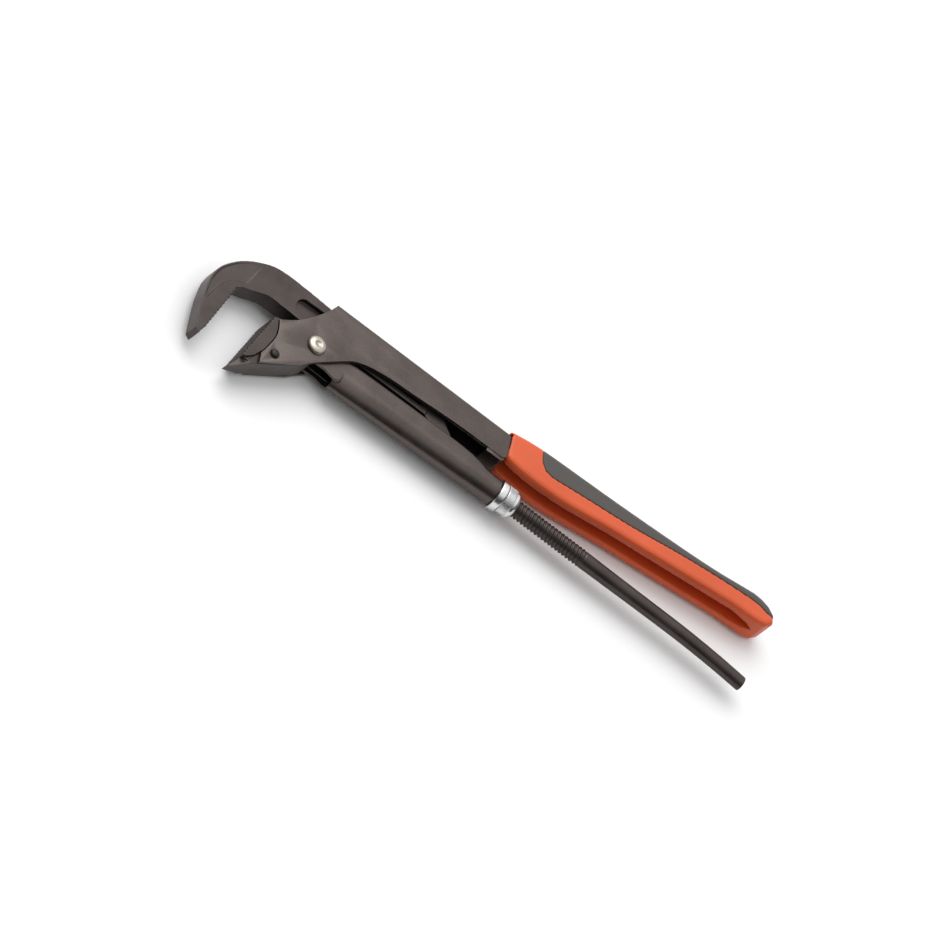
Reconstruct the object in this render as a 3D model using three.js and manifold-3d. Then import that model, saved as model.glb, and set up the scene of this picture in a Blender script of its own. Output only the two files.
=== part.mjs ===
// Swedish-pattern pipe wrench, 1 1/2 inch size: a pressed-steel channel frame with a forged lower
// jaw, a forged hook jaw on a threaded spindle whose plain end is the second handle, a rolled-sheet
// sleeve that turns on the pivot rivet, a knurled adjusting nut and a moulded two-colour grip.
//
// Millimetres. While the pieces are drawn, the pivot rivet is the origin: +X runs back along the
// spindle, +Y runs towards the gripped handle and +Z runs across the thickness. The wrench lies on
// its side, and at the end the whole group moves so that the origin is the bottom centre of its box.

import * as THREE from 'three';
import { mergeVertices } from 'three/addons/utils/BufferGeometryUtils.js';
import Module from 'manifold-3d';

const wasm = await Module();
wasm.setup();

// ---- driving dimensions ------------------------------------------------------------------------

const GAP = 0.3;                 // clearance kept between touching pieces
const PLATE = 2.4;               // thickness of the frame's pressed steel
const FRAME_HALF = 10;           // half of the frame's width across its plates
const FRAME_TOP = 37.8;          // height of the frame's back web above the spindle
const PIVOT_R = 4.2;             // pivot rivet's shank
const BUSH_R = 5.8;              // bush on the rivet, which the sleeve's ears turn on
const JAW_RIVET = { x: -22.2, y: -25.3, shankR: 2.2, headR: 3.1 };
const HOOK_HALF = 6;             // half of the hook jaw's thickness
const CRANK_HALF = 5.4;          // the hook jaw's heel, where it goes down into the sleeve
const SPINDLE_R = 5.75;          // major radius of the thread
const THREAD_END = 215;          // where the thread runs out into the plain handle
const ROD_END = 342;             // tail end of the plain handle
const SHEET = 2;                 // thickness of the sleeve's sheet
const SLEEVE = { front: 20, slotEnd: 133, back: 146, endR: 8.9 };
const NUT = { ring: 146.3, knurl: 151.6, back: 161.3, ringR: 10.25, knurlR: 9.6, boreR: 6.05 };
const GRIP_HALF = 11.3;          // half of the grip's width
const GRIP_SLOT = 4.7;           // half of the slot along the grip's underside
const CORE_HALF = 8.4;           // half of the frame's width inside the grip
const GRIP_FRONT = 140;          // where the grip starts
const GRIP_ROUND = 2.8;          // radius of the grip's long edges
const INLAY_DEPTH = 1.5;         // thickness of the grey inlay
const BEND_R = 3;                // outer radius of the channel's two bends

const COLOR = {
  steel: 0x5a5452,
  bright: 0xb9b2a8,
  nickel: 0xc2c3c6,
  spring: 0x3a3a3e,
  orange: 0xe8572a,
  grey: 0x3f4245,
};

// ---- solids and booleans -----------------------------------------------------------------------

function solid(geometry) {
  const bare = geometry.clone();
  bare.deleteAttribute('normal');
  bare.deleteAttribute('uv');
  const merged = mergeVertices(bare, 1e-4);
  const mesh = new wasm.Mesh({
    numProp: 3,
    vertProperties: new Float32Array(merged.attributes.position.array),
    triVerts: new Uint32Array(merged.index.array),
  });
  return new wasm.Manifold(mesh);
}

function geometryOf(body) {
  const mesh = body.getMesh();
  const geometry = new THREE.BufferGeometry();
  geometry.setAttribute('position', new THREE.BufferAttribute(new Float32Array(mesh.vertProperties), 3));
  geometry.setIndex(new THREE.BufferAttribute(new Uint32Array(mesh.triVerts), 1));
  geometry.computeVertexNormals();
  return geometry;
}

function piece(name, body, color, roughness, metalness) {
  const material = new THREE.MeshStandardMaterial({ color, roughness, metalness });
  const mesh = new THREE.Mesh(geometryOf(body), material);
  mesh.name = name;
  return mesh;
}

// A block between two corners.
function block(low, high) {
  const size = high.map((value, axis) => value - low[axis]);
  const geometry = new THREE.BoxGeometry(...size);
  geometry.translate(...low.map((value, axis) => value + size[axis] / 2));
  return solid(geometry);
}

// A flat piece: a closed outline in the XY plane, from one height to another.
function plate(outline, bottom, top) {
  const shape = new THREE.Shape(outline.map(([x, y]) => new THREE.Vector2(x, y)));
  const geometry = new THREE.ExtrudeGeometry(shape, { depth: top - bottom, bevelEnabled: false });
  geometry.translate(0, 0, bottom);
  return solid(geometry);
}

// A wedge or block drawn in the XZ plane, from one Y to another.
function plateAlongY(outline, low, high) {
  const shape = new THREE.Shape(outline.map(([x, z]) => new THREE.Vector2(x, z)));
  const geometry = new THREE.ExtrudeGeometry(shape, { depth: high - low, bevelEnabled: false });
  geometry.translate(0, 0, -high);
  geometry.rotateX(Math.PI / 2);
  return solid(geometry);
}

// A bar with a constant section drawn in the YZ plane, from one X to another.
function plateAlongX(outline, low, high) {
  const shape = new THREE.Shape(outline.map(([y, z]) => new THREE.Vector2(y, z)));
  const geometry = new THREE.ExtrudeGeometry(shape, { depth: high - low, bevelEnabled: false });
  geometry.translate(0, 0, low);
  geometry.rotateX(Math.PI / 2);
  geometry.rotateZ(Math.PI / 2);
  return solid(geometry);
}

// A cut into one face of a plate. Its floor slopes evenly from `deep` below the face at one point of
// the outline's plane to the face itself at another.
function slopingCut(outline, side, face, deep, deepest, end) {
  const shape = new THREE.Shape(outline.map(([x, y]) => new THREE.Vector2(x, y)));
  const reach = 10;
  const geometry = new THREE.ExtrudeGeometry(shape, { depth: reach, bevelEnabled: false });
  if (side < 0) geometry.translate(0, 0, -reach);
  const run = new THREE.Vector2(end[0] - deepest[0], end[1] - deepest[1]);
  const slope = run.clone().multiplyScalar(deep / run.lengthSq());
  const floor = face - deep - slope.x * deepest[0] - slope.y * deepest[1];
  geometry.applyMatrix4(new THREE.Matrix4().set(
    1, 0, 0, 0,
    0, 1, 0, 0,
    side * slope.x, side * slope.y, 1, side * floor,
    0, 0, 0, 1,
  ));
  return solid(geometry);
}

// A flat piece with rounded long edges, as wide as `half` on each side of the middle plane.
function paddedPlate(outline, half, round, steps) {
  const shape = new THREE.Shape(outline.map(([x, y]) => new THREE.Vector2(x, y)));
  const geometry = new THREE.ExtrudeGeometry(shape, {
    depth: 2 * (half - round),
    bevelThickness: round,
    bevelSize: round,
    bevelOffset: -round,
    bevelSegments: steps,
  });
  geometry.translate(0, 0, round - half);
  return solid(geometry);
}

// A turned piece about an axis along Z through (x, y); the profile lists [radius, z].
function pinAlongZ(profile, x, y, segments = 32) {
  const points = profile.map(([radius, z]) => new THREE.Vector2(radius, z));
  const geometry = new THREE.LatheGeometry(points, segments);
  geometry.rotateX(Math.PI / 2);
  geometry.translate(x, y, 0);
  return solid(geometry);
}

// A turned piece about the spindle axis; the profile lists [x, radius].
function turned(profile, segments = 32) {
  const points = profile.map(([x, radius]) => new THREE.Vector2(radius, x));
  const geometry = new THREE.LatheGeometry(points, segments);
  geometry.rotateZ(-Math.PI / 2);
  return solid(geometry);
}

// A skin through rings of points, closed by a fan at each end.
function loft(rings) {
  const count = rings[0].length;
  const positions = [];
  const index = [];
  for (const ring of rings) {
    for (const point of ring) positions.push(...point);
  }
  const capCentre = (ring) => {
    const sum = ring.reduce((total, point) => total.map((value, axis) => value + point[axis]), [0, 0, 0]);
    positions.push(...sum.map((value) => value / count));
    return positions.length / 3 - 1;
  };
  for (let row = 0; row < rings.length - 1; row += 1) {
    for (let k = 0; k < count; k += 1) {
      const next = (k + 1) % count;
      const a = row * count + k;
      const b = row * count + next;
      index.push(a, a + count, b, b, a + count, b + count);
    }
  }
  const first = capCentre(rings[0]);
  const last = capCentre(rings[rings.length - 1]);
  const lastRow = (rings.length - 1) * count;
  for (let k = 0; k < count; k += 1) {
    const next = (k + 1) % count;
    index.push(first, k, next);
    index.push(last, lastRow + next, lastRow + k);
  }
  const geometry = new THREE.BufferGeometry();
  geometry.setAttribute('position', new THREE.Float32BufferAttribute(positions, 3));
  geometry.setIndex(index);
  return solid(geometry);
}

// ---- outlines ----------------------------------------------------------------------------------

// Points along a smooth curve through a few guide points.
function smooth(guides, steps) {
  const curve = new THREE.SplineCurve(guides.map(([x, y]) => new THREE.Vector2(x, y)));
  return curve.getSpacedPoints(steps).map((point) => [point.x, point.y]);
}

// Points along an arc, in degrees.
function arc(centreX, centreY, radius, from, to, steps) {
  const points = [];
  for (let k = 0; k <= steps; k += 1) {
    const angle = THREE.MathUtils.degToRad(from + ((to - from) * k) / steps);
    points.push([centreX + radius * Math.cos(angle), centreY + radius * Math.sin(angle)]);
  }
  return points;
}

// The same outline moved outwards by a distance, or inwards when it is negative.
function grown(outline, distance) {
  const count = outline.length;
  let area = 0;
  outline.forEach(([x, y], k) => {
    const [nextX, nextY] = outline[(k + 1) % count];
    area += x * nextY - nextX * y;
  });
  const side = Math.sign(area);
  return outline.map(([x, y], k) => {
    const [beforeX, beforeY] = outline[(k + count - 1) % count];
    const [afterX, afterY] = outline[(k + 1) % count];
    const tangent = new THREE.Vector2(afterX - beforeX, afterY - beforeY).normalize();
    return [x + side * tangent.y * distance, y - side * tangent.x * distance];
  });
}

// Saw teeth from one point to another; they stand to the left of the direction of travel.
function teeth(start, end, count, depth) {
  const along = new THREE.Vector2(end[0] - start[0], end[1] - start[1]);
  const left = new THREE.Vector2(-along.y, along.x).normalize().multiplyScalar(depth);
  const points = [];
  for (let k = 0; k < count; k += 1) {
    const root = k / count;
    const crest = (k + 0.62) / count;
    points.push([start[0] + along.x * root, start[1] + along.y * root]);
    points.push([start[0] + along.x * crest + left.x, start[1] + along.y * crest + left.y]);
  }
  points.push([...end]);
  return points;
}

// ---- frame -------------------------------------------------------------------------------------

// The lower edge of the frame's plates, from the chin to the bridge ahead of the grip.
const CHIN_EDGE = [[-28.7, -37.2], [-3.6, -18.8]];
const BELLY_EDGE = smooth([[-3.6, -18.8], [6.1, -9.1], [17.6, 1.2], [26, 8], [36.6, 12.1], [52, 14.6],
  [70, 15.6], [100, 17.8], [128, 18.2]], 26);
const THROAT_EDGE = smooth([[2.6, 37.8], [-1, 29.8], [-8.8, 17.5], [-17.1, 7.9], [-28.3, -1]], 12);
const SHOULDER_EDGE = smooth([[-28.3, -1], [-26.3, -7], [-25.7, -14], [-27.9, -23.8], [-30.2, -31]], 10);

// Inside the grip the channel's back follows the grip's own back.
const CORE_TOP = [[150, 38.4], [214, 41], [292, 45.4], [318, 48.6]];
const CORE_BOTTOM = [[326, 44], [318, 39.6], [246, 31.4], [190, 24.4], [148, 22.6]];

function frameChannel() {
  const headOutline = [
    ...CHIN_EDGE.slice(0, 1), ...BELLY_EDGE, [138, 18.2], [GRIP_FRONT, 20],
    [GRIP_FRONT, FRAME_TOP], ...THROAT_EDGE, ...SHOULDER_EDGE.slice(1),
  ];
  const head = plate(headOutline, -FRAME_HALF, FRAME_HALF);
  const coreOutline = [[132, 24], [132, FRAME_TOP], ...CORE_TOP, [325, 48], ...CORE_BOTTOM];
  const core = plate(coreOutline, -CORE_HALF, CORE_HALF);
  const inner = FRAME_HALF - PLATE;
  const channel = plate([[-60, -60], [141, -60], [141, FRAME_TOP - PLATE], [-60, FRAME_TOP - PLATE]],
    -inner, inner);
  const coreInner = CORE_HALF - 2;
  const coreHollow = plate([[140, 0], [140, 35.4], [150, 36.2], [214, 38.8], [292, 43.2], [321, 46.2],
    [340, 46.2], [340, 0]], -coreInner, coreInner);
  const bridge = plate([[127, 15.8], [138, 15.8], [139.6, 17.4], [139.6, 18.4], [127, 18.4]],
    -FRAME_HALF + 0.6, FRAME_HALF - 0.6);
  const bendY = FRAME_TOP - BEND_R;
  const bendZ = FRAME_HALF - BEND_R;
  const outsideBend = [[FRAME_TOP + 1, bendZ], ...arc(bendY, bendZ, BEND_R, 0, 90, 6),
    [bendY, FRAME_HALF + 1], [FRAME_TOP + 1, FRAME_HALF + 1]];
  const bends = [1, -1].map((side) => (
    plateAlongX(outsideBend.map(([y, z]) => [y, side * z]), -10, GRIP_FRONT)));
  const rivetHole = pinAlongZ([[0, -12], [PIVOT_R + GAP, -12], [PIVOT_R + GAP, 12], [0, 12]], 0, 0);
  const jawRivetHoleR = JAW_RIVET.shankR + GAP;
  const jawRivetHole = pinAlongZ([[0, -12], [jawRivetHoleR, -12], [jawRivetHoleR, 12], [0, 12]],
    JAW_RIVET.x, JAW_RIVET.y, 20);
  return head.subtract(channel).add(core.subtract(coreHollow)).add(bridge)
    .subtract(bends[0]).subtract(bends[1]).subtract(rivetHole).subtract(jawRivetHole);
}

// ---- lower jaw ---------------------------------------------------------------------------------

const LOWER_TOP = [-30.8, -0.6];
const LOWER_BEAK = [-39.9, -40.2];
const LOWER_TIP = [-45.2, -50.5];
const TOOTH_DEPTH = 1.2;

function lowerJaw() {
  const tangHalf = FRAME_HALF - PLATE - GAP;
  const padHalf = FRAME_HALF - 0.4;
  const tipHalf = 1.6;
  const face = teeth(LOWER_TOP, LOWER_BEAK, 14, -TOOTH_DEPTH);
  const tang = plate([
    ...face, LOWER_TIP, [-37.2, -44.4], [-28.2, -37.4], [-16, -28.2], [-3.4, -18.6],
    ...arc(0, 0, 12.6, 281, 172, 10), [-16, 2.6], [-24, 3], [-29, 1.8],
  ], -tangHalf, tangHalf);
  const shoulder = SHOULDER_EDGE.slice(0, 10).reverse().map(([x, y]) => [x - 2 * GAP, y]);
  const pad = plate([...face, [-38.4, -40], [-33.6, -35.4], ...shoulder], -padHalf, padHalf);
  const hole = pinAlongZ([[0, -12], [JAW_RIVET.shankR + GAP, -12], [JAW_RIVET.shankR + GAP, 12], [0, 12]],
    JAW_RIVET.x, JAW_RIVET.y, 20);
  const jaw = tang.add(pad).subtract(hole);
  const flanks = [1, -1].map((side) => plateAlongY([
    [-34, side * tangHalf], [-46, side * tipHalf], [-60, side * tipHalf], [-60, side * 20], [-34, side * 20],
  ], -60, LOWER_BEAK[1]));
  return jaw.subtract(flanks[0]).subtract(flanks[1]);
}

// ---- rivets, bush and spring -------------------------------------------------------------------

function pivotRivet() {
  const head = FRAME_HALF + GAP;
  return pinAlongZ([
    [0, -head - 2.6], [4.4, -head - 2.3], [6.2, -head - 1], [6.4, -head],
    [PIVOT_R, -head], [PIVOT_R, head],
    [6.4, head], [6.2, head + 1], [5.2, head + 2], [3.6, head + 2.6], [2.2, head + 2.7],
    [1.6, head + 2.1], [0, head + 1.9],
  ], 0, 0);
}

function jawRivet() {
  const head = FRAME_HALF + GAP;
  const { x, y, shankR, headR } = JAW_RIVET;
  return pinAlongZ([
    [0, -head - 1.5], [headR * 0.7, -head - 1.2], [headR, -head],
    [shankR, -head], [shankR, head],
    [headR, head], [headR * 0.86, head + 0.9], [headR * 0.5, head + 1.5], [0, head + 1.7],
  ], x, y, 24);
}

function pivotBush() {
  const end = FRAME_HALF - PLATE - GAP;
  const bore = PIVOT_R + GAP;
  return pinAlongZ([[bore, -end], [BUSH_R, -end], [BUSH_R, end], [bore, end], [bore, -end]], 0, 0);
}

// A hairpin spring of round wire: two turns about the bush, one leg under the spindle inside the
// sleeve and one leg over the back of the lower jaw.
function openingSpring() {
  const wireR = 0.6;
  const coilR = 7.1;
  const coilSteps = 29;
  const stepsPerTurn = 12;
  const rise = 3.6;
  const path = [new THREE.Vector3(34, -8.2, -rise / 2), new THREE.Vector3(17, -7.7, -rise / 2)];
  for (let k = 0; k <= coilSteps; k += 1) {
    const angle = -Math.PI / 2 - (k / stepsPerTurn) * 2 * Math.PI;
    const height = -rise / 2 + (rise * k) / coilSteps;
    path.push(new THREE.Vector3(coilR * Math.cos(angle), coilR * Math.sin(angle), height));
  }
  path.push(new THREE.Vector3(-12, 5.6, rise / 2));
  path.push(new THREE.Vector3(-24, 4.4, rise / 2));
  const wire = new THREE.Shape(arc(0, 0, wireR, 0, 300, 5).map(([x, y]) => new THREE.Vector2(x, y)));
  const geometry = new THREE.ExtrudeGeometry(wire, {
    steps: 84,
    extrudePath: new THREE.CatmullRomCurve3(path, false, 'centripetal'),
  });
  return solid(geometry);
}

// ---- sleeve ------------------------------------------------------------------------------------

// The rolled sheet is deep and narrow at the front and round at the nut. Its upper half is squarer
// where the walls stand up beside the hook jaw's heel.
const SLEEVE_STATIONS = [
  { x: 20, half: 7.3, depth: 13.3, square: 9 },
  { x: 45, half: 8, depth: 12.6, square: 9 },
  { x: 75, half: 8.5, depth: 11.6, square: 9 },
  { x: 108, half: 8.8, depth: 10.4, square: 9 },
  { x: 120, half: 8.9, depth: 10, square: 6 },
  { x: 128, half: 8.9, depth: 9.6, square: 3.4 },
  { x: 134, half: 8.9, depth: 9.3, square: 2.2 },
  { x: 140, half: 8.9, depth: 9, square: 2 },
  { x: 146, half: 8.9, depth: 8.9, square: 2 },
];

function sleeveRing({ x, half, depth, square }, inset, count = 40) {
  const ring = [];
  for (let k = 0; k < count; k += 1) {
    const angle = (k / count) * 2 * Math.PI;
    const power = Math.sin(angle) > 0 ? 2 / square : 1;
    const z = (half - inset) * Math.sign(Math.cos(angle)) * Math.abs(Math.cos(angle)) ** power;
    const reach = Math.sin(angle) > 0 ? SLEEVE.endR : depth;
    const y = (reach - inset) * Math.sign(Math.sin(angle)) * Math.abs(Math.sin(angle)) ** power;
    ring.push([x, y, z]);
  }
  return ring;
}

function sleeve() {
  const outer = loft(SLEEVE_STATIONS.map((station) => sleeveRing(station, 0)));
  const first = { ...SLEEVE_STATIONS[0], x: SLEEVE.front - 1 };
  const last = { ...SLEEVE_STATIONS[SLEEVE_STATIONS.length - 1], x: SLEEVE.back + 1 };
  const inner = loft([first, ...SLEEVE_STATIONS, last].map((station) => sleeveRing(station, SHEET)));
  const slotHalf = 6.5;
  const slot = plateAlongY([
    [0, -slotHalf], [SLEEVE.slotEnd - slotHalf, -slotHalf],
    ...arc(SLEEVE.slotEnd - slotHalf, 0, slotHalf, -60, 60, 4),
    [SLEEVE.slotEnd - slotHalf, slotHalf], [0, slotHalf],
  ], 2, 30);
  const earInner = 5.3;
  const earOuter = 7.3;
  const earOutline = [[24, 8.9], ...arc(0, 0, 9.6, 70, 290, 16), [12, -8.6], [20, -10.4], [24, -9]];
  const ears = [earInner, -earOuter].map((low) => plate(earOutline, low, low + earOuter - earInner));
  const bushHole = pinAlongZ([[0, -9], [BUSH_R + 0.05, -9], [BUSH_R + 0.05, 9], [0, 9]], 0, 0);
  const endBore = turned([[136, 0], [136, 7.3], [138.6, 7.3], [138.6, 8.2], [140.2, 8.2], [140.2, 7.3],
    [150, 7.3], [150, 0]]);
  return outer.subtract(inner).subtract(slot).add(ears[0]).add(ears[1]).subtract(bushHole)
    .subtract(endBore);
}

// ---- hook jaw and spindle ----------------------------------------------------------------------

const HOOK_TIP = [-70.3, -44.6];
const HOOK_BEAK = [-69.2, -38];
const HOOK_TEETH_TOP = [-61.2, 1.6];
const HOOK_BACK = smooth([[-73.7, -42.3], [-75.5, -32.9], [-76.8, -25.2], [-77.9, -17.9], [-78.4, -9],
  [-78.2, -1.5], [-75.7, 7.4], [-70.6, 15.3], [-63.3, 22.9], [-54, 29.2], [-41.3, 34.4], [-22.4, 35],
  [0.6, 33.7]], 34);

// A groove on each face runs between the toothed pad and the rim along the jaw's back, and its
// floor rises to the face where the hook turns into the shank.
const HOOK_PAD_EDGE = [[-75.2, -18], [-73.2, -11], [-70.5, -3.2], [-66.3, 3.8], [-60.6, 7.4], [-55.8, 9]];
const HOOK_RIM_EDGE = [[-50.8, 28.8], [-62.4, 22], [-69.6, 14.6], [-74.5, 7], [-76.9, -1.5],
  [-77.1, -9], [-76.7, -17.4]];
const GROOVE_DEPTH = 1.2;
const HOOK_THROAT = smooth([[-57.2, 5.2], [-51.1, 7.4], [-45, 10.2], [-38.6, 12.3], [-28, 12.2],
  [-15.8, 11.8]], 12);

function hookJaw() {
  const outline = [
    HOOK_TIP, ...HOOK_BACK, [40, 31.6], [70, 29.4], [86, 26.6], [92.6, 22], [98.5, 15.4],
    [104.3, 10.4], [107, 5.2], [107, 0], [88, 0], [88, 7], [86.6, 10], [83, 11.8],
    ...[...HOOK_THROAT].reverse(), ...teeth(HOOK_TEETH_TOP, HOOK_BEAK, 12, TOOTH_DEPTH),
  ];
  const blank = plate(outline, -HOOK_HALF, HOOK_HALF);
  const boss = turned([[88, 0], [88, 5.3], [107, 5.3], [107, 0]], 28);
  const socket = turned([[94, 0], [94, 4.5], [110, 4.5], [110, 0]], 24);
  const pocketOutline = [...arc(-14.6, 21.3, 6.9, 110, 250, 7), [78, 15.8], [80, 24.2], [4, 28.4]];
  const grooveOutline = [...smooth(HOOK_PAD_EDGE, 14), ...smooth(HOOK_RIM_EDGE, 18)];
  let jaw = blank;
  for (const side of [1, -1]) {
    const face = side * HOOK_HALF;
    const pocketFloor = side * 2.6;
    jaw = jaw.subtract(plate(pocketOutline, Math.min(pocketFloor, 2 * face), Math.max(pocketFloor, 2 * face)));
    jaw = jaw.subtract(slopingCut(grooveOutline, side, HOOK_HALF, GROOVE_DEPTH, HOOK_PAD_EDGE[0],
      HOOK_RIM_EDGE[0]));
    const heelSide = side * CRANK_HALF;
    jaw = jaw.subtract(block([83, -10, Math.min(heelSide, 2 * face)], [120, 40, Math.max(heelSide, 2 * face)]));
  }
  return jaw.add(boss).subtract(socket);
}

// The threaded spindle and the plain handle, one bar: the handle tapers and leans away at the tail.
function spindleRod() {
  const bendStart = 278;
  const bendDrop = 3.4;
  const stations = [
    [94.6, 4.2], [107.3, 4.2], [107.31, SPINDLE_R], [THREAD_END - 1, SPINDLE_R], [THREAD_END, 5.4],
    [255, 5.05], [278, 4.95], [295, 4.88], [310, 4.82], [325, 4.76], [ROD_END - 1, 4.7], [ROD_END, 3.8],
  ];
  return loft(stations.map(([x, radius]) => {
    const along = Math.max(0, (x - bendStart) / (ROD_END - bendStart));
    return arc(0, 0, radius, 0, 345, 23).map(([z, y]) => [x, y - bendDrop * along * along, z]);
  }));
}

// ---- adjusting nut -----------------------------------------------------------------------------

function adjustingNut() {
  const { knurl, back, knurlR, boreR } = NUT;
  return turned([
    [137.2, boreR], [137.2, 7], [138.6, 7], [138.6, 6.45], [140.2, 6.45], [140.2, 7], [knurl, 7],
    [knurl, knurlR - 0.5], [knurl + 0.5, knurlR], [back - 2.4, knurlR], [back - 0.8, knurlR - 0.9],
    [back, knurlR - 1.9], [back, boreR], [137.2, boreR],
  ], 40);
}

function nutThrustRing() {
  const bore = 7.3;
  const { ring, knurl, ringR } = NUT;
  return turned([
    [ring, bore], [ring, ringR - 0.6], [ring + 0.8, ringR], [knurl - GAP - 0.6, ringR],
    [knurl - GAP, ringR - 0.6], [knurl - GAP, bore], [ring, bore],
  ], 40);
}

function nutSnapRing() {
  return turned([[138.8, 6.75], [138.8, 7.9], [140, 7.9], [140, 6.75], [138.8, 6.75]], 28);
}

// ---- grip --------------------------------------------------------------------------------------

const GRIP_OUTLINE = [
  ...smooth([[137, 39.6], [160, 42.9], [214, 44.8], [262, 47.2], [292, 49.4], [312, 52], [324, 53.4],
    [334, 51.6], [341, 46.5], [341.6, 41.5], [338, 37.5], [331, 35.8], [325, 35.5]], 36),
  ...smooth([[312, 35], [279, 31], [246.6, 27.1], [222, 24.2], [200, 20.8], [184, 18.5], [165, 17.7],
    [150, 18.2], [143, 19.4]], 18),
  [140.4, 21.4], [138.2, 26.7], [136.8, 34.7],
];
const INLAY_EDGE = smooth([[159.6, 52], [160.2, 42], [161.1, 37.2], [163.2, 33.1], [166.4, 29.9],
  [171, 28.6], [179.1, 29.4], [198.8, 31.8], [231.5, 35.4], [262, 40.4], [283.2, 43.4], [303.3, 45.6],
  [325.7, 47.2], [334, 45.6], [346, 44.8]], 34);

function gripBlank(inset) {
  return paddedPlate(grown(GRIP_OUTLINE, -inset), GRIP_HALF - inset, GRIP_ROUND - inset / 2, 2);
}

function gripShell() {
  const inlayPocket = plate([...INLAY_EDGE.map(([x, y]) => [x, y - GAP]), [346, 70], [159.3, 70]], -20, 20)
    .subtract(gripBlank(INLAY_DEPTH + GAP));
  const headPocket = plate([[120, 0], [GRIP_FRONT + GAP, 0], [GRIP_FRONT + GAP, FRAME_TOP + GAP],
    [120, FRAME_TOP + GAP]], -FRAME_HALF - GAP, FRAME_HALF + GAP);
  const coreTop = [[140, FRAME_TOP + GAP], [150, 38.8], [214, 41.4], [292, 45.8], [318, 49], [325.4, 48.4]];
  const coreBottom = [[326.5, 43.8], [318, 39.2], [246, 31], [190, 24], [148, 22.2], [140, 22.2]];
  const lining = CORE_HALF - 2 - GAP;
  const corePocket = plate([...coreTop, ...coreBottom], -CORE_HALF - GAP, CORE_HALF + GAP)
    .subtract(plate([[139, 0], [139, 35.1], [150, 35.9], [214, 38.5], [292, 42.9], [320.6, 45.9],
      [345, 45.9], [345, 0]], -lining, lining));
  const slotDepth = plate([[120, 0], [120, 34], [150, 34.7], [214, 37.3], [292, 41.7], [318, 44.5],
    [325, 42.6], [336, 37], [336, 0]], -GRIP_SLOT, GRIP_SLOT);
  const slotWidth = plateAlongY([[100, -GRIP_SLOT], [318, -GRIP_SLOT], [327, -3.2], [333.6, 0], [327, 3.2],
    [318, GRIP_SLOT], [100, GRIP_SLOT]], -10, 60);
  const slot = slotDepth.intersect(slotWidth);
  return gripBlank(0).subtract(inlayPocket).subtract(headPocket).subtract(corePocket).subtract(slot);
}

function gripInlay() {
  const region = plate([...INLAY_EDGE, [346, 70], [159.6, 70]], -20, 20);
  return gripBlank(0).intersect(region).subtract(gripBlank(INLAY_DEPTH));
}

// ---- the wrench --------------------------------------------------------------------------------

const wrench = new THREE.Group();
wrench.add(
  piece('frame_channel', frameChannel(), COLOR.steel, 0.5, 0.6),
  piece('lower_jaw', lowerJaw(), COLOR.steel, 0.45, 0.7),
  piece('lower_jaw_rivet', jawRivet(), COLOR.steel, 0.45, 0.7),
  piece('pivot_rivet', pivotRivet(), COLOR.bright, 0.35, 0.9),
  piece('pivot_bush', pivotBush(), COLOR.steel, 0.4, 0.8),
  piece('opening_spring', openingSpring(), COLOR.spring, 0.4, 0.8),
  piece('sleeve', sleeve(), COLOR.steel, 0.45, 0.6),
  piece('hook_jaw', hookJaw(), COLOR.steel, 0.45, 0.7),
  piece('spindle_rod', spindleRod(), COLOR.steel, 0.4, 0.7),
  piece('adjusting_nut', adjustingNut(), COLOR.nickel, 0.25, 0.95),
  piece('nut_thrust_ring', nutThrustRing(), COLOR.nickel, 0.25, 0.95),
  piece('nut_snap_ring', nutSnapRing(), COLOR.spring, 0.4, 0.8),
  piece('grip_shell', gripShell(), COLOR.orange, 0.55, 0),
  piece('grip_inlay', gripInlay(), COLOR.grey, 0.8, 0),
);

const box = new THREE.Box3().setFromObject(wrench);
const middle = box.getCenter(new THREE.Vector3());
wrench.position.set(-middle.x, -middle.y, -box.min.z);

export default wrench;
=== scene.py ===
"""Looks for the pipe wrench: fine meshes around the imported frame, materials, floor, lights and camera.

The pieces' sizes are in millimetres from the pivot rivet's axis at the middle of the wrench's thickness:
x runs back along the spindle, y towards the gripped handle and z across the thickness. Lights, the floor
and the materials' bump distances are in metres.
"""

import math

import bpy
import numpy as np
from mathutils import Matrix, Vector


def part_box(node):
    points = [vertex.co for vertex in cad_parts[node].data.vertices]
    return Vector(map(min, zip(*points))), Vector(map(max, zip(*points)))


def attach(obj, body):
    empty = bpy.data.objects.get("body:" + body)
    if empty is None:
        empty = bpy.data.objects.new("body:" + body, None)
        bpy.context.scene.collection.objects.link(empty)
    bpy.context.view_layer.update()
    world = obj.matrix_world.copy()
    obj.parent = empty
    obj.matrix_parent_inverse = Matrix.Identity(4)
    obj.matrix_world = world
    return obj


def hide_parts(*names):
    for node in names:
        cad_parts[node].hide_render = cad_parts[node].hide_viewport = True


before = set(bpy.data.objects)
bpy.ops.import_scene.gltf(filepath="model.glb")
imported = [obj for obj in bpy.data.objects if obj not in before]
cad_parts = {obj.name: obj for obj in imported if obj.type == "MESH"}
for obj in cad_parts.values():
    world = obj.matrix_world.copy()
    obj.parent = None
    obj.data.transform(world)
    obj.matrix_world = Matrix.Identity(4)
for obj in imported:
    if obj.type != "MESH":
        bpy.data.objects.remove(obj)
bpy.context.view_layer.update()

MM = 0.001
rivet_low, rivet_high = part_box("pivot_rivet")
ring_low, ring_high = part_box("nut_thrust_ring")
PIVOT = Vector((
    (rivet_low[0] + rivet_high[0]) / 2,
    (rivet_low[1] + rivet_high[1]) / 2,
    (ring_low[2] + ring_high[2]) / 2,
))

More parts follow.
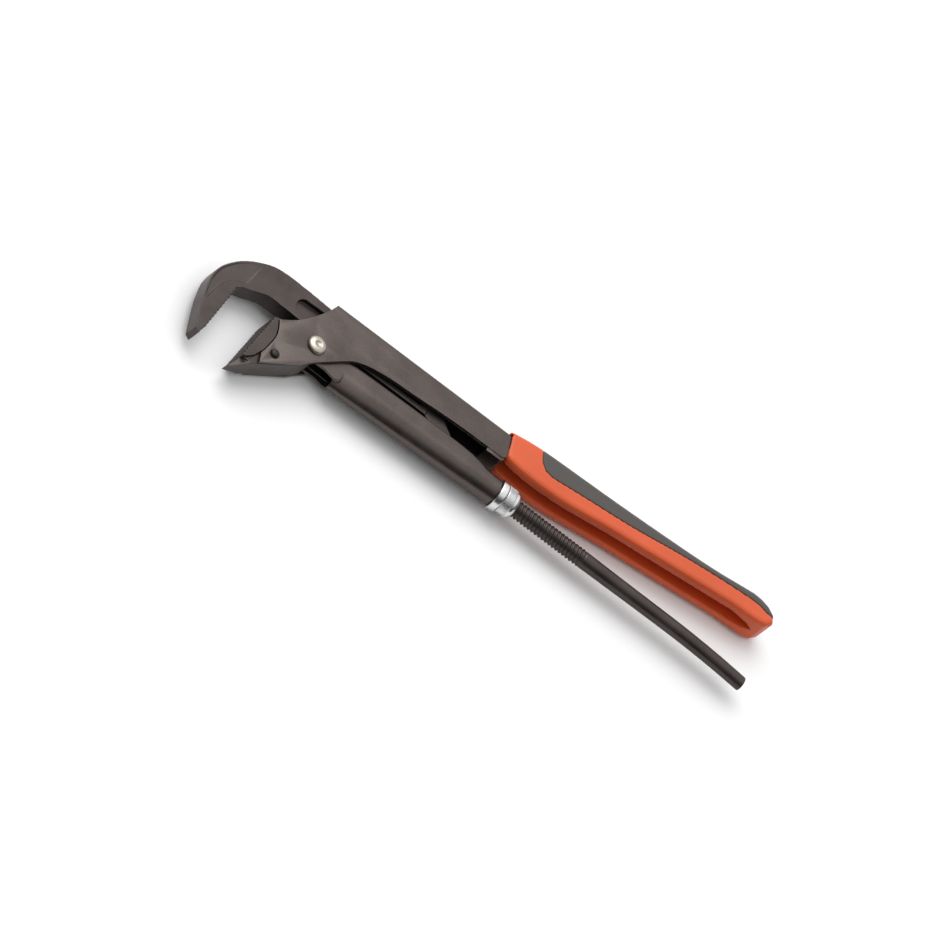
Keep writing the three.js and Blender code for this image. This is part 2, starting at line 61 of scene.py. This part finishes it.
# Sizes that repeat the frame's own.
THREAD_FROM = 107.4
THREAD_TO = 215
THREAD_PITCH = 2.7
THREAD_MAJOR = 5.75
THREAD_DEPTH = 0.95
ROD_BEND_FROM = 278
ROD_END = 342
ROD_BEND_DROP = 3.4
ROD_RADIUS = 5.42
ROD_TAIL_RADIUS = 4.7
STUB_FROM = 94.6
STUB_RADIUS = 4.2
NUT_BORE = 6.05
HEAD_SEAT = 10.3
JAW_RIVET_CENTRE = (-22.2, -25.3)

# Details that only the fine meshes have.
NUT_RIDGES = 44
KNURL_FROM = 151.6
KNURL_TO = 157.8
KNURL_DEPTH = 0.7
ROD_END_ROUND = 0.9
BEVEL_SEGMENTS = 3
BEVEL_ANGLE = 35
PHOSPHATE_METALLIC = 0.85


def place(x, y, z):
    """A point in metres in the frame, from millimetres about the pivot."""
    return PIVOT + Vector((x, y, z)) * MM


# ---- meshes ------------------------------------------------------------------------------------


def new_object(name, vertices, faces, smooth_angle=30):
    mesh = bpy.data.meshes.new(name)
    mesh.from_pydata([tuple(v) for v in vertices], [], faces)
    mesh.validate()
    mesh.update()
    obj = bpy.data.objects.new(name, mesh)
    bpy.context.scene.collection.objects.link(obj)
    shade_smooth(obj, smooth_angle)
    return obj


def shade_smooth(obj, angle):
    """Smooth faces, with edges sharper than the angle kept sharp."""
    mesh = obj.data
    mesh.polygons.foreach_set("use_smooth", [True] * len(mesh.polygons))
    mesh.set_sharp_from_angle(angle=math.radians(angle))


def skin(name, rows, closed_ends=True, smooth_angle=30):
    """A skin over rows of points that each go once around, with a fan over each end or the ends joined."""
    rows = np.asarray(rows)
    row_count, around, _ = rows.shape
    vertices = [PIVOT + Vector(point) * MM for point in rows.reshape(-1, 3).tolist()]
    faces = []
    for i in range(row_count - 1):
        for k in range(around):
            n = (k + 1) % around
            faces.append((i * around + k, i * around + n, (i + 1) * around + n, (i + 1) * around + k))
    if closed_ends:
        for row, flip in ((0, True), (row_count - 1, False)):
            vertices.append(PIVOT + Vector(rows[row].mean(axis=0).tolist()) * MM)
            centre = len(vertices) - 1
            for k in range(around):
                a = row * around + k
                b = row * around + (k + 1) % around
                faces.append((centre, b, a) if flip else (centre, a, b))
    else:
        last = (row_count - 1) * around
        for k in range(around):
            n = (k + 1) % around
            faces.append((last + k, last + n, n, k))
    return new_object(name, vertices, faces, smooth_angle)


def turned_along_x(name, profile, around=128, radius_change=None):
    """A bored piece turned about the spindle; the profile lists (x, radius) and closes on itself."""
    angles = np.arange(around) * 2 * math.pi / around
    rows = []
    for x, radius in profile:
        radii = np.full(around, float(radius))
        if radius_change:
            radii = radii + radius_change(x, radius, angles)
        ring = [np.full(around, x), np.cos(angles) * radii, np.sin(angles) * radii]
        rows.append(np.stack(ring, axis=1))
    return skin(name, rows, closed_ends=False)


def turned_along_z(name, profile, centre, around=96):
    """A turned piece about an axis along z through the centre; the profile lists (radius, z)."""
    angles = np.arange(around) * 2 * math.pi / around
    rows = []
    for radius, z in profile:
        x = centre[0] + np.cos(angles) * radius
        y = centre[1] + np.sin(angles) * radius
        rows.append(np.stack([x, y, np.full(around, z)], axis=1))
    return skin(name, rows)


def rounded(profile, radius, steps=4):
    """The same open profile with its inner corners rounded."""
    points = [np.array(p, dtype=float) for p in profile]
    result = [points[0]]
    for before, corner, after in zip(points, points[1:], points[2:]):
        back = before - corner
        ahead = after - corner
        reach = min(radius, np.linalg.norm(back) * 0.45, np.linalg.norm(ahead) * 0.45)
        start = corner + back / np.linalg.norm(back) * reach
        end = corner + ahead / np.linalg.norm(ahead) * reach
        for k in range(steps + 1):
            t = k / steps
            result.append(start * (1 - t) ** 2 + corner * 2 * t * (1 - t) + end * t ** 2)
    result.append(points[-1])
    return [tuple(p) for p in result]


def add_modifier(obj, kind, name, **settings):
    modifier = obj.modifiers.new(name, kind)
    for key, value in settings.items():
        setattr(modifier, key, value)
    return modifier


def forged(node, voxel, smoothing):
    """A CAD node shown with the soft edges of a forging: remeshed evenly, then smoothed."""
    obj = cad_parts[node]
    add_modifier(obj, "WELD", "weld", merge_threshold=1e-6)
    add_modifier(obj, "REMESH", "even_mesh", mode="VOXEL", voxel_size=voxel * MM, use_smooth_shade=True)
    add_modifier(obj, "SMOOTH", "soft_edges", factor=0.5, iterations=smoothing)
    return obj


def pressed(node, width):
    """A CAD node shown with small rounded edges."""
    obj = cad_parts[node]
    add_modifier(obj, "WELD", "weld", merge_threshold=1e-6)
    add_modifier(obj, "BEVEL", "edges", width=width * MM, segments=BEVEL_SEGMENTS,
                 limit_method="ANGLE", angle_limit=math.radians(BEVEL_ANGLE), harden_normals=False)
    shade_smooth(obj, BEVEL_ANGLE)
    return obj


# ---- pieces ------------------------------------------------------------------------------------


def rod_centre_drop(x):
    along = np.clip((np.asarray(x) - ROD_BEND_FROM) / (ROD_END - ROD_BEND_FROM), 0, None)
    return -ROD_BEND_DROP * along ** 2


def make_spindle():
    """The threaded bar and the plain, tapering handle."""
    around = 72
    step = THREAD_PITCH / 10
    angles = np.arange(around) * 2 * math.pi / around
    thread = np.arange(THREAD_FROM, THREAD_TO + 3, step)
    rod_x = [221, 230, 240, 255, 266, 272, 278, 284, 290, 296, 302, 308, 314, 320, 326, 332, 336, 339]
    rod_r = np.interp(rod_x, [THREAD_TO, 255, ROD_BEND_FROM, 310, ROD_END],
                      [ROD_RADIUS, 5.05, 4.95, 4.82, ROD_TAIL_RADIUS])
    rows = []
    for x in (STUB_FROM, THREAD_FROM - 0.2):
        rows.append((x, np.full(around, STUB_RADIUS)))
    for x in thread:
        phase = (x - THREAD_FROM) / THREAD_PITCH - angles / (2 * math.pi)
        ridge = (0.5 + 0.5 * np.cos(2 * math.pi * phase)) ** 0.8
        fade = np.clip((THREAD_TO + 1.5 - x) / 3, 0, 1) * np.clip((x - THREAD_FROM + 0.5) / 2, 0.3, 1)
        threaded = THREAD_MAJOR - THREAD_DEPTH + THREAD_DEPTH * ridge
        rows.append((x, threaded * fade + ROD_RADIUS * (1 - fade)))
    for x, radius in zip(rod_x, rod_r):
        rows.append((x, np.full(around, radius)))
    for k in range(7):
        turn = k / 6 * math.pi / 2
        x = ROD_END - ROD_END_ROUND + ROD_END_ROUND * math.sin(turn)
        radius = ROD_TAIL_RADIUS - ROD_END_ROUND + ROD_END_ROUND * math.cos(turn)
        rows.append((x, np.full(around, radius)))
    rings = []
    for x, radii in rows:
        drop = rod_centre_drop(x)
        ring = [np.full(around, x), drop + np.cos(angles) * radii, np.sin(angles) * radii]
        rings.append(np.stack(ring, axis=1))
    piece = skin("spindle_threaded_rod", rings, smooth_angle=50)
    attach(piece, "hook")
    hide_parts("spindle_rod")
    return piece


def make_nut():
    """The adjusting nut: neck, straight knurled band and rounded tail."""
    outside = rounded([
        (137.2, 7), (KNURL_FROM, 7), (KNURL_FROM, 9.35), (152.3, 9.6), (157.3, 9.6), (157.9, 9.2),
        (159.4, 9.2), (161.3, 7.9), (161.3, NUT_BORE + 0.1),
    ], 0.35)
    profile = [(137.2, NUT_BORE)] + outside + [(161.0, NUT_BORE)]
    fine = []
    for (x0, r0), (x1, r1) in zip(profile, profile[1:]):
        parts = max(1, int(math.hypot(x1 - x0, r1 - r0) / 0.5))
        fine += [(x0 + (x1 - x0) * k / parts, r0 + (r1 - r0) * k / parts) for k in range(parts)]
    fine.append(profile[-1])

    def ridges(x, radius, angles):
        if radius < 9.3 or x > KNURL_TO:
            return np.zeros_like(angles)
        run_in = 0.5
        fade_out = min(1, max(0, (KNURL_TO - x) / run_in))
        fade_in = min(1, max(0, (x - KNURL_FROM) / run_in))
        depth = KNURL_DEPTH * fade_out * fade_in
        wave = np.abs(((angles * NUT_RIDGES / (2 * math.pi)) % 1) - 0.5) * 2
        return -depth * (1 - np.clip(wave * 1.6, 0, 1))

    piece = turned_along_x("knurled_nut", fine, around=NUT_RIDGES * 10, radius_change=ridges)
    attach(piece, "nut")
    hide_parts("adjusting_nut")
    return piece


def make_thrust_ring():
    corners = [(146.3, 7.3), (146.3, 9.9), (147.2, 10.25), (150.4, 10.25), (151.3, 9.8), (151.3, 7.3)]
    piece = turned_along_x("nut_ring", rounded(corners, 0.5))
    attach(piece, "sleeve")
    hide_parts("nut_thrust_ring")
    return piece


def make_pivot_rivet():
    """The pivot rivet: a low upset head with a shallow dimple, and a plain head below."""
    half = HEAD_SEAT
    profile = [
        (0.05, -half - 2.6), (2.5, -half - 2.55), (4.6, -half - 2.1), (5.9, -half - 1.2),
        (6.35, -half - 0.4), (6.4, -half), (4.2, -half), (4.2, half), (6.35, half),
        (6.42, half + 0.35), (6.2, half + 1.1), (5.6, half + 1.75), (4.7, half + 2.25),
        (3.6, half + 2.55), (2.7, half + 2.65), (2.1, half + 2.5), (1.6, half + 2.05),
        (1.0, half + 1.85), (0.05, half + 1.8),
    ]
    piece = turned_along_z("pivot_rivet_head", rounded(profile, 0.3, 2), (0, 0))
    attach(piece, "frame")
    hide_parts("pivot_rivet")
    return piece


def make_jaw_rivet():
    """The lower jaw's small domed rivet."""
    half = HEAD_SEAT
    profile = [(0.03, -half - 1.45), (1.6, -half - 1.35), (2.6, -half - 0.8), (3.05, -half), (2.2, -half),
               (2.2, half), (3.1, half), (3.0, half + 0.45), (2.6, half + 0.95), (1.9, half + 1.4),
               (1.0, half + 1.65), (0.03, half + 1.7)]
    piece = turned_along_z("lower_jaw_rivet_head", rounded(profile, 0.2, 2), JAW_RIVET_CENTRE, around=64)
    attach(piece, "frame")
    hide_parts("lower_jaw_rivet")
    return piece


# ---- materials ---------------------------------------------------------------------------------


class Nodes:
    """A small helper that adds and links shader nodes in one material."""

    def __init__(self, name):
        self.material = bpy.data.materials.new(name)
        self.material.use_nodes = True
        self.tree = self.material.node_tree
        self.tree.nodes.clear()
        self.shader = self.add("ShaderNodeBsdfPrincipled")
        output = self.add("ShaderNodeOutputMaterial")
        self.link(self.shader, "BSDF", output, "Surface")
        self.coordinates = self.add("ShaderNodeTexCoord")

    def add(self, kind, **settings):
        node = self.tree.nodes.new(kind)
        for key, value in settings.items():
            setattr(node, key, value)
        return node

    def link(self, source, output, target, entry):
        self.tree.links.new(source.outputs[output], target.inputs[entry])

    def noise(self, scale, detail=3.0, roughness=0.55, stretch=None):
        node = self.add("ShaderNodeTexNoise")
        node.inputs["Scale"].default_value = scale
        node.inputs["Detail"].default_value = detail
        node.inputs["Roughness"].default_value = roughness
        if stretch:
            mapping = self.add("ShaderNodeMapping")
            mapping.inputs["Scale"].default_value = stretch
            self.link(self.coordinates, "Object", mapping, "Vector")
            self.link(mapping, "Vector", node, "Vector")
        else:
            self.link(self.coordinates, "Object", node, "Vector")
        return node

    def ramp(self, source, output, stops):
        node = self.add("ShaderNodeValToRGB")
        elements = node.color_ramp.elements
        while len(elements) < len(stops):
            elements.new(0.5)
        for element, (position, colour) in zip(elements, stops):
            element.position = position
            element.color = (*colour, 1)
        self.link(source, output, node, "Fac")
        return node

    def range(self, source, output, low, high, from_low=0.0, from_high=1.0):
        node = self.add("ShaderNodeMapRange")
        node.inputs["From Min"].default_value = from_low
        node.inputs["From Max"].default_value = from_high
        node.inputs["To Min"].default_value = low
        node.inputs["To Max"].default_value = high
        self.link(source, output, node, "Value")
        return node

    def mix(self, factor, factor_output, first, second):
        """Two colours, or colour outputs, mixed by a factor."""
        node = self.add("ShaderNodeMix", data_type="RGBA")
        self.tree.links.new(factor.outputs[factor_output], node.inputs[0])
        for socket, value in ((node.inputs[6], first), (node.inputs[7], second)):
            if isinstance(value, tuple):
                socket.default_value = (*value, 1)
            else:
                self.tree.links.new(value.outputs[0 if value.bl_idname != "ShaderNodeMix" else 2], socket)
        return node

    def bump(self, height, output, distance, strength=1.0, below=None):
        node = self.add("ShaderNodeBump")
        node.inputs["Distance"].default_value = distance
        node.inputs["Strength"].default_value = strength
        self.link(height, output, node, "Height")
        if below:
            self.link(below, "Normal", node, "Normal")
        return node

    def edges(self, radius):
        """About 1 on convex and concave edges within the radius, 0 on flat faces."""
        bevel = self.add("ShaderNodeBevel", samples=4)
        bevel.inputs["Radius"].default_value = radius
        geometry = self.add("ShaderNodeNewGeometry")
        dot = self.add("ShaderNodeVectorMath", operation="DOT_PRODUCT")
        self.link(bevel, "Normal", dot, 0)
        self.link(geometry, "Normal", dot, 1)
        return self.range(dot, "Value", 1, 0, 0.72, 0.985)


def phosphate(name, dark, light, rough, grain, wear_and_highlight):
    """Dark phosphated steel: mottled brown-grey, a fine grain and lighter edges, partly real wear and partly
    painted highlight.
    """
    m = Nodes(name)
    patches = m.noise(55, 5, 0.6)
    grains = m.noise(1600, 3, 0.6)
    patch_colour = m.ramp(patches, "Fac", [(0.3, dark), (0.7, light)])
    grain_colour = m.ramp(grains, "Fac", [(0.35, (0.82, 0.82, 0.82)), (0.7, (1.12, 1.12, 1.12))])
    tinted = m.add("ShaderNodeMix", data_type="RGBA", blend_type="MULTIPLY")
    tinted.inputs[0].default_value = 0.8
    m.tree.links.new(patch_colour.outputs[0], tinted.inputs[6])
    m.tree.links.new(grain_colour.outputs[0], tinted.inputs[7])
    # Convex and concave edges are painted a lighter grey: partly real wear, partly a painted highlight along
    # the edges.
    edge = m.edges(0.0006)
    breakup = m.noise(420, 3, 0.6)
    kept = m.add("ShaderNodeMath", operation="MULTIPLY")
    m.link(edge, "Result", kept, 0)
    m.link(m.range(breakup, "Fac", 0.0, 1.0, 0.35, 0.65), "Result", kept, 1)
    amount = m.add("ShaderNodeMath", operation="MULTIPLY")
    m.link(kept, "Value", amount, 0)
    amount.inputs[1].default_value = wear_and_highlight
    colour = m.mix(amount, "Value", tinted, (0.33, 0.31, 0.3))
    m.tree.links.new(colour.outputs[2], m.shader.inputs["Base Color"])
    m.shader.inputs["Metallic"].default_value = PHOSPHATE_METALLIC
    roughness = m.range(patches, "Fac", rough - 0.06, rough + 0.08, 0.3, 0.7)
    m.link(roughness, "Result", m.shader, "Roughness")
    soft = m.bump(patches, "Fac", 0.00012, 0.5)
    m.link(m.bump(grains, "Fac", grain, 0.6, soft), "Normal", m.shader, "Normal")
    return m.material


def bright_metal(name, colour, rough, marks):
    """Plated or upset bright metal with fine marks that break up its reflections."""
    m = Nodes(name)
    cloud = m.noise(240, 4, 0.6)
    lines = m.noise(900, 3, 0.6, (1, 6, 6))
    base = m.ramp(cloud, "Fac", [(0.3, tuple(c * 0.86 for c in colour)), (0.72, colour)])
    m.tree.links.new(base.outputs[0], m.shader.inputs["Base Color"])
    m.shader.inputs["Metallic"].default_value = 1.0
    roughness = m.range(lines, "Fac", rough, rough + 0.14, 0.35, 0.7)
    m.link(roughness, "Result", m.shader, "Roughness")
    first = m.bump(cloud, "Fac", marks, 0.5)
    m.link(m.bump(lines, "Fac", marks * 0.15, 0.5, first), "Normal", m.shader, "Normal")
    return m.material


def moulded_plastic(name, colour, shade, rough):
    """Injection-moulded plastic: a fine spark-eroded texture and a slight change of tone."""
    m = Nodes(name)
    cloud = m.noise(30, 3, 0.5)
    texture = m.noise(2600, 2, 0.5)
    base = m.ramp(cloud, "Fac", [(0.3, shade), (0.7, colour)])
    m.tree.links.new(base.outputs[0], m.shader.inputs["Base Color"])
    m.shader.inputs["Specular IOR Level"].default_value = 0.4
    m.link(m.range(texture, "Fac", rough - 0.05, rough + 0.07, 0.3, 0.7), "Result", m.shader, "Roughness")
    m.link(m.bump(texture, "Fac", 0.00004, 0.5), "Normal", m.shader, "Normal")
    return m.material


def soft_rubber(name, colour, shade):
    """Matt soft inlay with a close stipple."""
    m = Nodes(name)
    cloud = m.noise(70, 4, 0.6)
    cells = m.add("ShaderNodeTexVoronoi")
    cells.inputs["Scale"].default_value = 1500
    m.link(m.coordinates, "Object", cells, "Vector")
    base = m.ramp(cloud, "Fac", [(0.3, shade), (0.7, colour)])
    m.tree.links.new(base.outputs[0], m.shader.inputs["Base Color"])
    m.shader.inputs["Sheen Weight"].default_value = 0.15
    m.shader.inputs["Sheen Roughness"].default_value = 0.5
    m.link(m.range(cloud, "Fac", 0.62, 0.78, 0.3, 0.7), "Result", m.shader, "Roughness")
    m.link(m.bump(cells, "Distance", 0.00006, 0.5), "Normal", m.shader, "Normal")
    return m.material


def dress(obj, material):
    obj.data.materials.clear()
    obj.data.materials.append(material)


# ---- floor, lights and camera ------------------------------------------------------------------


def make_floor():
    half = 3.0
    corners = [(-half, -half, -0.0002), (half, -half, -0.0002), (half, half, -0.0002), (-half, half, -0.0002)]
    floor = new_object("floor", corners, [(0, 1, 2, 3)])
    m = Nodes("floor_paint")
    tone = m.noise(3, 2, 0.5)
    base = m.ramp(tone, "Fac", [(0.3, (0.9, 0.9, 0.9)), (0.7, (0.93, 0.93, 0.93))])
    m.tree.links.new(base.outputs[0], m.shader.inputs["Base Color"])
    m.shader.inputs["Roughness"].default_value = 0.9
    m.shader.inputs["Specular IOR Level"].default_value = 0.1
    floor.data.materials.append(m.material)


def area_light(name, position, target, size, power):
    data = bpy.data.lights.new(name, "AREA")
    data.energy = power
    data.size = size
    light = bpy.data.objects.new(name, data)
    light.location = position
    light.rotation_euler = (Vector(target) - Vector(position)).to_track_quat("-Z", "Y").to_euler()
    bpy.context.scene.collection.objects.link(light)
    return light


# The studio's bright side lies above and behind the wrench, and its dark side in front of it. The
# stops give the brightness of the surroundings from the darkest direction to the brightest.
BRIGHT_SIDE = Vector((0.0, 0.45, 0.89))
SURROUNDINGS = [(0.25, 0.02), (0.56, 0.06), (0.7, 0.32), (0.82, 0.92), (1.0, 1.12)]
STUDIO_STRENGTH = 1.0


def make_lights():
    world = bpy.data.worlds.new("studio")
    world.use_nodes = True
    tree = world.node_tree
    coordinates = tree.nodes.new("ShaderNodeTexCoord")
    towards = tree.nodes.new("ShaderNodeVectorMath")
    towards.operation = "DOT_PRODUCT"
    towards.inputs[1].default_value = BRIGHT_SIDE
    spread = tree.nodes.new("ShaderNodeMapRange")
    spread.inputs["From Min"].default_value = -1
    ramp = tree.nodes.new("ShaderNodeValToRGB")
    elements = ramp.color_ramp.elements
    while len(elements) < len(SURROUNDINGS):
        elements.new(0.5)
    for element, (position, level) in zip(elements, SURROUNDINGS):
        element.position = position
        element.color = (level, level, level, 1)
    background = tree.nodes["Background"]
    background.inputs["Strength"].default_value = STUDIO_STRENGTH
    tree.links.new(coordinates.outputs["Generated"], towards.inputs[0])
    tree.links.new(towards.outputs["Value"], spread.inputs["Value"])
    tree.links.new(spread.outputs["Result"], ramp.inputs["Fac"])
    tree.links.new(ramp.outputs["Color"], background.inputs["Color"])
    bpy.context.scene.world = world
    area_light("key", position=(-0.9, 1.1, 2.0), target=(0, 0, 0), size=2.2, power=36)
    fill = area_light("fill", position=(0.3, -1.3, 1.1), target=(0, 0, 0), size=1.4, power=5)
    fill.visible_glossy = False


# The view: the image's right and up directions in the frame, the point at its middle and how many
# millimetres it is across.
VIEW_RIGHT = Vector((0.7714, 0.3187, 0.5509)).normalized()
VIEW_UP = Vector((-0.5813, 0.7051, 0.4061)).normalized()
VIEW_MIDDLE = (135.5, 15.3, -15.0)
VIEW_WIDTH = 575.8
LENS = 1200
SENSOR = 36


def make_camera():
    towards = VIEW_RIGHT.cross(VIEW_UP).normalized()
    up = towards.cross(VIEW_RIGHT).normalized()
    middle = place(*VIEW_MIDDLE)
    data = bpy.data.cameras.new("camera")
    data.lens = LENS
    data.sensor_width = SENSOR
    data.clip_end = 60
    camera = bpy.data.objects.new("camera", data)
    distance = LENS * VIEW_WIDTH / SENSOR * MM
    position = middle + towards * distance
    rows = [(VIEW_RIGHT[k], up[k], towards[k], position[k]) for k in range(3)]
    camera.matrix_world = Matrix([*rows, (0, 0, 0, 1)])
    bpy.context.scene.collection.objects.link(camera)
    bpy.context.scene.camera = camera


# ---- the scene ---------------------------------------------------------------------------------

make_camera()
make_floor()
make_lights()

sheet_steel = phosphate(
    "phosphated_sheet", (0.092, 0.075, 0.069), (0.112, 0.092, 0.085), rough=0.3, grain=0.00002, wear_and_highlight=0.6)
forged_steel = phosphate(
    "phosphated_forging", (0.062, 0.051, 0.047), (0.084, 0.069, 0.065), rough=0.38, grain=0.00005, wear_and_highlight=0.8)
dark_steel = phosphate(
    "dark_rivet_steel", (0.03, 0.026, 0.024), (0.046, 0.04, 0.037), rough=0.4, grain=0.00004, wear_and_highlight=0.5)
nickel = bright_metal("nickel_plate", (0.76, 0.755, 0.76), rough=0.2, marks=0.000008)
rivet_steel = bright_metal("upset_rivet", (0.52, 0.47, 0.41), rough=0.3, marks=0.00012)
spring_steel = phosphate(
    "spring_steel", (0.015, 0.015, 0.018), (0.026, 0.026, 0.03), rough=0.35, grain=0.00001, wear_and_highlight=0.3)
orange = moulded_plastic("orange_plastic", (0.66, 0.1, 0.027), (0.6, 0.086, 0.022), rough=0.42)
grey = soft_rubber("grey_rubber", (0.075, 0.066, 0.062), (0.057, 0.05, 0.047))

dress(make_spindle(), forged_steel)
dress(make_nut(), nickel)
dress(make_thrust_ring(), nickel)
dress(make_pivot_rivet(), rivet_steel)
dress(make_jaw_rivet(), dark_steel)
dress(pressed("frame_channel", 0.4), sheet_steel)
dress(forged("hook_jaw", 0.32, 2), forged_steel)
dress(forged("lower_jaw", 0.3, 2), forged_steel)
dress(forged("sleeve", 0.5, 4), sheet_steel)
dress(forged("grip_shell", 0.55, 4), orange)
dress(forged("grip_inlay", 0.5, 3), grey)
dress(pressed("opening_spring", 0.05), spring_steel)
dress(pressed("nut_snap_ring", 0.1), spring_steel)
dress(pressed("pivot_bush", 0.2), forged_steel)

bpy.context.scene.view_settings.view_transform = "Standard"

bpy.context.view_layer.update()
